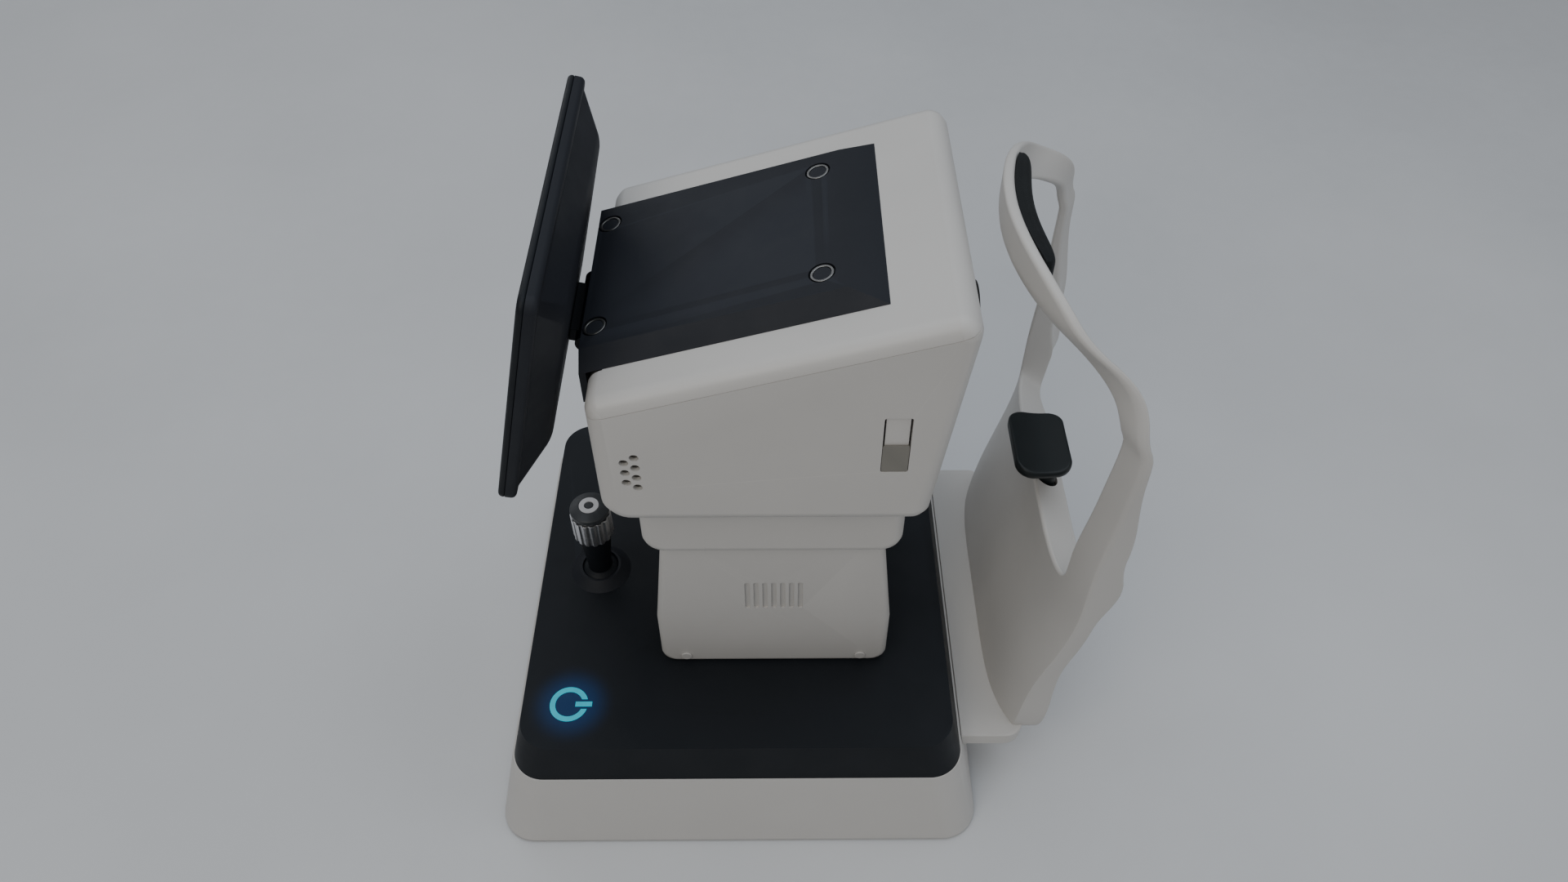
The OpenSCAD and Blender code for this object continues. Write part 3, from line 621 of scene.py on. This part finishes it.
def hull_of(points):
    bm = bmesh.new()
    verts = [bm.verts.new(p) for p in points]
    bmesh.ops.convex_hull(bm, input=verts)
    bmesh.ops.delete(bm, geom=[v for v in bm.verts if not v.link_faces], context="VERTS")
    bmesh.ops.recalc_face_normals(bm, faces=bm.faces)
    return bm


def post_cylinder(z0, z1, r):
    """A cylinder on the chin post's axis."""
    bm = bmesh.new()
    bmesh.ops.create_cone(
        bm, cap_ends=True, segments=64, radius1=r / 1000, radius2=r / 1000,
        depth=(z1 - z0) / 1000, matrix=Matrix.Translation(mm(POST_X, 0, (z0 + z1) / 2)),
    )
    return bm


def combine(obj, bm, operation):
    """Boolean of obj with a temporary mesh, applied to obj's own mesh."""
    mesh = bpy.data.meshes.new("tool")
    bm.to_mesh(mesh)
    bm.free()
    tool = bpy.data.objects.new("tool", mesh)
    bpy.context.scene.collection.objects.link(tool)
    mod = obj.modifiers.new("join", "BOOLEAN")
    mod.object = tool
    mod.operation = operation
    mod.solver = "EXACT"
    bake_modifiers(obj)
    bpy.data.objects.remove(tool)
    bpy.data.meshes.remove(mesh)


def chin_frame():
    """The rest's loop with round edges, its foot, and the pocket for the chin post."""
    turns, bands = 5, 12
    rings = []
    for o, i in zip(outline(OUTER, 7), outline(INNER, 7)):
        width = math.hypot(i[0] - o[0], i[1] - o[1])
        d = EDGE / width
        steps = []
        for k in range(turns):
            a = math.pi / 2 * k / turns
            steps.append((d * (1 - math.cos(a)), EDGE * (1 - math.sin(a))))
        steps += [(d + (1 - 2 * d) * k / bands, 0.0) for k in range(bands + 1)]
        steps += [(1 - t, b) for t, b in reversed(steps[:turns])]
        drop = 11 * smooth((228 - i[1]) / 14)
        ring = []
        for t, back_off in steps:
            y, z = o[0] + (i[0] - o[0]) * t, o[1] + (i[1] - o[1]) * t
            ring.append(mm(frame_x(y, z) + back_off, y, z))
        for t, back_off in reversed(steps):
            y, z = o[0] + (i[0] - o[0]) * t, o[1] + (i[1] - o[1]) * t
            ring.append(mm(frame_back(y, z) - back_off, y, z - drop * t))
        rings.append(ring)
    obj = new_piece("chin_frame_fine", closed_loops(rings, True), mat["white_shell"])
    foot_half, corner_x, corner_y, corner_r, corner_steps = 126, 192, 112, 14, 32
    points = []
    for z, cut in ((54, 1.0), (55, 0), (64.8, 0), (65.6, 0.35), (66, 1.2)):
        inner_x = 175 - 0.23 * z + 0.3
        points += [mm(inner_x + cut, side * (foot_half - cut), z) for side in (-1, 1)]
        for k in range(corner_steps + 1):
            a = math.pi / 2 * k / corner_steps
            r = corner_r - cut
            x, y = corner_x + r * math.cos(a), corner_y + r * math.sin(a)
            points += [mm(x, y, z), mm(x, -y, z)]
    combine(obj, hull_of(points), "UNION")
    combine(obj, post_cylinder(87, 227, 9.1), "DIFFERENCE")
    finish_normals(obj, 38.0)
    weigh_normals(obj)
    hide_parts("chin_frame")
    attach(obj, "base")


def forehead_pad():
    """Crowned foam pad under a sewn skin, flat where it lies on the band."""
    low, high, half, thick, edge_thick, gap = 417.0, 439.0, 50.0, 10.4, 1.2, 0.3
    across, around = 72, 40
    rings = []
    for j in range(across + 1):
        s = 2 * j / across - 1
        y = half * math.copysign(1 - (1 - abs(s)) ** 1.6, s)
        end = max(0.0, 1 - abs(y / half) ** 5) ** 0.42
        depth = edge_thick + (thick - edge_thick) * end
        tall = (high - low) / 2 * (0.80 + 0.20 * end)
        ring = []
        for k in range(around + 1):
            a = math.pi * k / around
            up = math.copysign(abs(math.cos(a)) ** 0.42, math.cos(a))
            out = math.sin(a) ** 0.55 if 0 < k < around else 0.0
            seam = 0.55 * math.exp(-(((out - 0.42) / 0.10) ** 2))
            z = (low + high) / 2 + up * (tall - seam)
            ring.append(mm(frame_x(y, z) + frame_thick(z) + gap + out * depth, y, z))
        rings.append(ring)
    obj = new_piece("forehead_pad_fine", closed_loops(rings, False), mat["soft_pad"], 60.0)
    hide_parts("forehead_pad")
    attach(obj, "base")


def chin_cup():
    """Saddle-shaped cup with a soft lip, on its tapered stem."""
    x0, top, rim_count, dense_count = 207.0, 247.0, 144, 720
    dish_r, dish_drop = 58, 52
    spots = ((x0 - 7, 17, 12), (x0 - 7, -17, 12), (x0 + 8, 17, 11), (x0 + 8, -17, 11))
    dense = []
    for k in range(dense_count):
        d = (math.cos(math.tau * k / dense_count), math.sin(math.tau * k / dense_count))
        c = max(spots, key=lambda q: q[0] * d[0] + q[1] * d[1] + q[2])
        dense.append((c[0] + c[2] * d[0], c[1] + c[2] * d[1]))
    run = [0.0]
    for a, b in zip(dense, dense[1:] + dense[:1]):
        run.append(run[-1] + math.hypot(b[0] - a[0], b[1] - a[1]))
    rim = []
    at = 0
    for k in range(rim_count):
        want = run[-1] * k / rim_count
        while run[at + 1] < want:
            at += 1
        a, b = dense[at], dense[(at + 1) % len(dense)]
        t = (want - run[at]) / max(run[at + 1] - run[at], 1e-9)
        rim.append((a[0] + (b[0] - a[0]) * t, a[1] + (b[1] - a[1]) * t))

    def dished(x):
        return top + dish_drop - math.sqrt(dish_r * dish_r - (x - x0 - 2) ** 2)

    def ring_at(scale, inset, height):
        ring = []
        for x, y in rim:
            dx, dy = x - x0 - 0.5, y
            far = math.hypot(dx, dy)
            k = scale * (far - inset) / far
            px, py = x0 + 0.5 + dx * k, dy * k
            ring.append(mm(px, py, height(px)))
        return ring

    under = ((0.25, 13), (0.7, 13), (0.86, 13), (0.92, 12.6))
    rings = [ring_at(scale, 0, lambda x, down=down: top - down) for scale, down in under]
    for k in range(1, 7):
        t = k / 6
        rings.append(ring_at(1 - 0.065 * (1 - t) ** 2, 0, lambda x, t=t: top - 12.3 + 4.6 * t))
    for k in range(7):
        a = math.pi / 2 * k / 6
        drop = EDGE * (1 - math.sin(a))
        rings.append(ring_at(1, EDGE * (1 - math.cos(a)), lambda x, drop=drop: dished(x) - drop))
    for scale in (0.8, 0.6, 0.4, 0.2, 0.03):
        rings.append(ring_at(scale, 0, dished))
    obj = new_piece("chin_cup_fine", closed_loops(rings, False), mat["cup_plastic"], 50.0)
    neck = ((x, y, z) for x in (x0, x0 + 16) for y in (-8, 8) for z in (top - 13, top - 12))
    points = [mm(*p) for p in neck]
    for k in range(48):
        a = math.tau * k / 48
        points.append(mm(POST_X + 6.8 * math.cos(a), 6.8 * math.sin(a), 201))
    combine(obj, hull_of(points), "UNION")
    combine(obj, post_cylinder(195, 208, 6.05), "DIFFERENCE")
    finish_normals(obj, 38.0)
    weigh_normals(obj)
    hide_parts("chin_cup")
    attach(obj, "chin_rest")


chin_frame()
forehead_pad()
chin_cup()


# ---------------------------------------------------------------- floor, lights, camera
def floor():
    half = 6.0
    corners = [(-half, -half, 0), (half, -half, 0), (half, half, 0), (-half, half, 0)]
    mesh = bpy.data.meshes.new("floor")
    mesh.from_pydata(corners, [], [(0, 1, 2, 3)])
    obj = bpy.data.objects.new("floor", mesh)
    bpy.context.scene.collection.objects.link(obj)
    s = Shader("floor_paint", (0.62, 0.63, 0.64), 0.6)
    s.feed(s.ramp(s.noise(3.0, 4.0), (0.60, 0.61, 0.62), (0.65, 0.66, 0.67)), "Base Color")
    s.feed(s.spread(s.noise(50.0, 3.0), 0.5, 0.7), "Roughness")
    obj.data.materials.append(s.mat)


floor()


def area_light(name, location, target, size, power, color):
    data = bpy.data.lights.new(name, "AREA")
    data.shape = "RECTANGLE"
    data.size, data.size_y = size
    data.energy = power
    data.color = color
    obj = bpy.data.objects.new(name, data)
    bpy.context.scene.collection.objects.link(obj)
    obj.location = location
    obj.rotation_euler = (Vector(target) - Vector(location)).to_track_quat("-Z", "Y").to_euler()


area_light("key_light", (-0.9, -1.5, 1.9), (0, 0, 0.2), (1.6, 1.2), 17, (1.0, 0.945, 0.87))
area_light("sky_light", (0.1, 0.2, 2.3), (0, 0, 0.2), (2.2, 2.2), 25, (0.84, 0.91, 1.0))
area_light("fill_light", (1.9, -0.6, 1.1), (0.05, 0, 0.25), (1.4, 1.2), 6, (0.97, 0.98, 1.0))
area_light("back_light", (-1.3, 1.6, 1.2), (0, 0, 0.25), (1.4, 1.0), 5, (0.95, 0.97, 1.0))

world = bpy.data.worlds.new("studio")
bpy.context.scene.world = world
world.use_nodes = True
background = world.node_tree.nodes["Background"]
background.inputs["Color"].default_value = (0.80, 0.83, 0.88, 1)
background.inputs["Strength"].default_value = 0.2

# The camera looks down at one side of the machine.
cam_data = bpy.data.cameras.new("camera")
cam_data.lens = 26.25
cam_data.sensor_width = 36.0
cam_data.clip_start = 0.02
cam = bpy.data.objects.new("camera", cam_data)
bpy.context.scene.collection.objects.link(cam)
cam.location = (-0.0045, -0.51765, 0.8170)
cam.rotation_euler = (math.radians(42.063), 0, -math.radians(0.339))
bpy.context.scene.camera = cam
